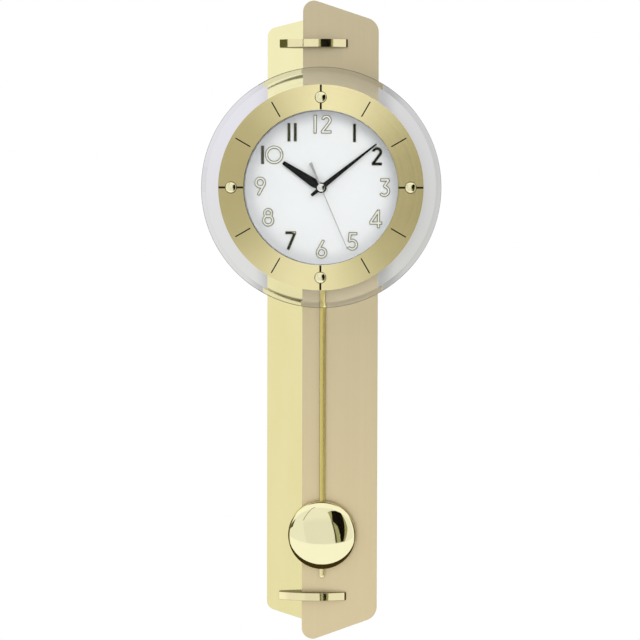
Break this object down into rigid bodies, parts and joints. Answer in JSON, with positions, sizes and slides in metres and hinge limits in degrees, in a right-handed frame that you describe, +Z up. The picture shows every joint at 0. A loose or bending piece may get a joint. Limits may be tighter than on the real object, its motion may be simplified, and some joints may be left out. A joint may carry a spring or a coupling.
{
  "type": "pendulum wall clock",
  "caption": "Radio-controlled wall clock with a round bevelled glass front, raised numerals, two overlapping metal sheets and a swinging pendulum.",
  "frame": {"origin": "on the rear face of the hanger plate, just above the keyhole slot, in the plane of the wall", "axes": "+Z up the clock, +Y into the wall, +X to the right seen from the front; the dial faces -Y"},
  "size_m": [0.251, 0.0645, 0.6809],
  "materials": {
    "mirror_gold": "mirror-polished light gold sheet",
    "champagne": "vertically brushed champagne anodised sheet",
    "ring_gold": "circular-brushed light gold",
    "polished_gold": "polished light gold",
    "brass": "polished brass",
    "steel": "satin zinc-plated steel",
    "dark_metal": "satin black paint",
    "fibreboard": "black-painted fibreboard",
    "dial_white": "matt white moulding with gold foil on the raised numerals",
    "white_plastic": "matt moulded plastic",
    "black_plastic": "fine-textured moulded plastic",
    "rubber": "matt",
    "glass": "clear, with a polished facet round the edge",
    "copper": "enamelled copper winding",
    "circuit": "solder-masked board",
    "nylon": "moulded nylon",
    "battery": "plain wrapped cell",
    "ferrite": "sintered"
  },
  "bodies": {
    "clock_body": {"left_sheet": "mirror_gold", "right_sheet": "champagne", "back_rail_top": "fibreboard", "back_board_upper": "fibreboard", "back_board_lower": "fibreboard", "hanger_plate": "steel", "hanger_screw_lower": "steel", "hanger_screw_upper": "steel", "wall_pad": "rubber", "bracket_top": "brass", "bracket_bottom": "brass", "post_upper_left": "brass", "post_upper_right": "brass", "post_lower_left": "brass", "post_lower_right": "brass", "post_screw_upper_left": "steel", "post_screw_upper_right": "steel", "post_screw_lower_left": "steel", "post_screw_lower_right": "steel", "dial": "dial_white", "dial_carrier": "black_plastic", "dial_collar": "ring_gold", "glass_disc": "glass", "chapter_ring": "ring_gold", "dome_screw_12": "polished_gold", "dome_screw_3": "polished_gold", "dome_screw_6": "polished_gold", "dome_screw_9": "polished_gold", "movement_case": "black_plastic", "movement_cover": "black_plastic", "shaft_nut": "steel", "battery": "battery", "contact_positive": "steel", "contact_negative": "steel", "circuit_board": "circuit", "antenna_core": "ferrite", "antenna_coil": "copper", "pendulum_coil": "copper", "minutes_stator": "steel", "minutes_coil": "copper", "seconds_stator": "steel", "seconds_coil": "copper"},
    "hour": {"hour_hand": "dark_metal", "hour_wheel": "nylon"},
    "minute": {"minute_hand": "dark_metal", "centre_wheel": "nylon"},
    "second": {"second_hand": "steel", "seconds_wheel": "nylon"},
    "motion": {"motion_wheel": "nylon"},
    "reduction": {"minutes_reduction_wheel": "nylon"},
    "minutes_rotor": {"minutes_rotor": "ferrite"},
    "seconds_drive": {"seconds_drive_wheel": "nylon"},
    "seconds_rotor": {"seconds_rotor": "ferrite"},
    "pendulum": {"pendulum_arm": "black_plastic", "pendulum_magnet": "steel", "pendulum_rod": "polished_gold", "bob_shell": "polished_gold", "bob_back": "brass"},
    "set_button": {"set_button": "white_plastic"},
    "reset_button": {"reset_button": "white_plastic"}
  },
  "joints": [
    {"name": "minute_turn", "type": "hinge", "parent": "clock_body", "child": "minute", "pos_m": [0, -0.05, -0.1245], "axis": [0, 1, 0], "continuous": true},
    {"name": "hour_turn", "type": "hinge", "parent": "clock_body", "child": "hour", "pos_m": [0, -0.05, -0.1245], "axis": [0, 1, 0], "continuous": true},
    {"name": "motion_turn", "type": "hinge", "parent": "clock_body", "child": "motion", "pos_m": [0.006, -0.038, -0.11411], "axis": [0, 1, 0], "continuous": true},
    {"name": "reduction_turn", "type": "hinge", "parent": "clock_body", "child": "reduction", "pos_m": [-0.01122, -0.033, -0.11802], "axis": [0, 1, 0], "continuous": true},
    {"name": "minutes_rotor_turn", "type": "hinge", "parent": "clock_body", "child": "minutes_rotor", "pos_m": [-0.01632, -0.03, -0.10919], "axis": [0, 1, 0], "continuous": true},
    {"name": "second_turn", "type": "hinge", "parent": "clock_body", "child": "second", "pos_m": [0, -0.05, -0.1245], "axis": [0, 1, 0], "continuous": true},
    {"name": "seconds_drive_turn", "type": "hinge", "parent": "clock_body", "child": "seconds_drive", "pos_m": [0.00935, -0.03, -0.1299], "axis": [0, 1, 0], "continuous": true},
    {"name": "seconds_rotor_turn", "type": "hinge", "parent": "clock_body", "child": "seconds_rotor", "pos_m": [0.01355, -0.03, -0.13717], "axis": [0, 1, 0], "continuous": true},
    {"name": "pendulum_swing", "type": "hinge", "parent": "clock_body", "child": "pendulum", "pos_m": [0, -0.0207, -0.0945], "axis": [0, 1, 0], "range_deg": [-4, 4]},
    {"name": "set_press", "type": "slide", "parent": "clock_body", "child": "set_button", "axis": [0, -1, 0], "range_m": [0, 0.0008], "stiffness_N_per_m": 400},
    {"name": "reset_press", "type": "slide", "parent": "clock_body", "child": "reset_button", "axis": [0, -1, 0], "range_m": [0, 0.0008], "stiffness_N_per_m": 400}
  ],
  "couplings": [
    {"joint": "hour_turn", "follows": "minute_turn", "ratio": 0.083333},
    {"joint": "motion_turn", "follows": "minute_turn", "ratio": -0.33333},
    {"joint": "reduction_turn", "follows": "minute_turn", "ratio": -8},
    {"joint": "minutes_rotor_turn", "follows": "minute_turn", "ratio": 60},
    {"joint": "seconds_drive_turn", "follows": "second_turn", "ratio": -5},
    {"joint": "seconds_rotor_turn", "follows": "second_turn", "ratio": 30}
  ]
}
